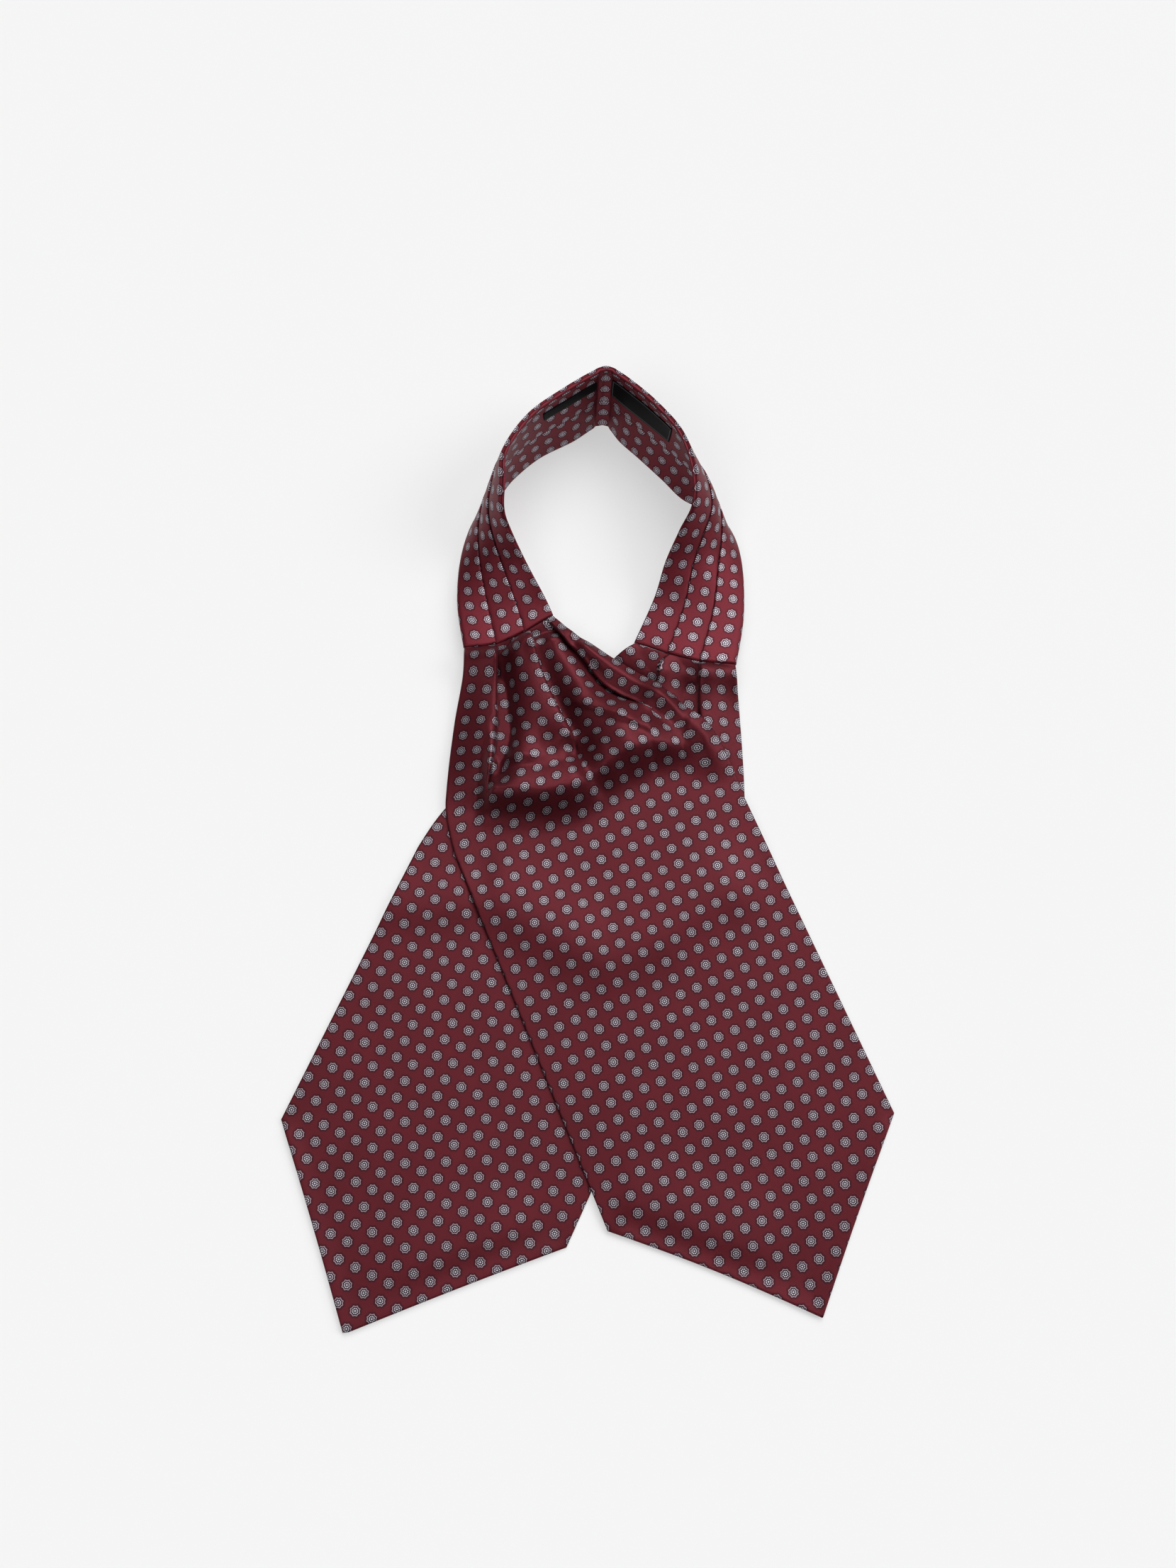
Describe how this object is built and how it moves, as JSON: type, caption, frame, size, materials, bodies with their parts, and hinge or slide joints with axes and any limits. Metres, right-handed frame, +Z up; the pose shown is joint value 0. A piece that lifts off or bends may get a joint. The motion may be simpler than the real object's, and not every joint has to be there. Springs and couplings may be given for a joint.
{
  "type": "silk day cravat",
  "caption": "Silk day cravat laid flat: a pleated neckband standing in a loop, with two wide pointed blades that cross below it.",
  "frame": {"origin": "middle of the footprint's box, on the surface that the cravat lies on", "axes": "+Z up from the surface, +Y up the loop to its centre back, +X to the right of someone who looks down on it with the points towards them"},
  "size_m": [0.3116, 0.5157, 0.0456],
  "materials": {
    "printed_silk": "burgundy silk twill with a soft sheen and a small printed all-over rosette",
    "label_satin": "black woven satin ribbon, bare"
  },
  "bodies": {
    "root": {"neckband": "printed_silk", "under_blade": "printed_silk", "front_blade": "printed_silk", "label_narrow": "label_satin", "label_wide": "label_satin"}
  },
  "joints": []
}
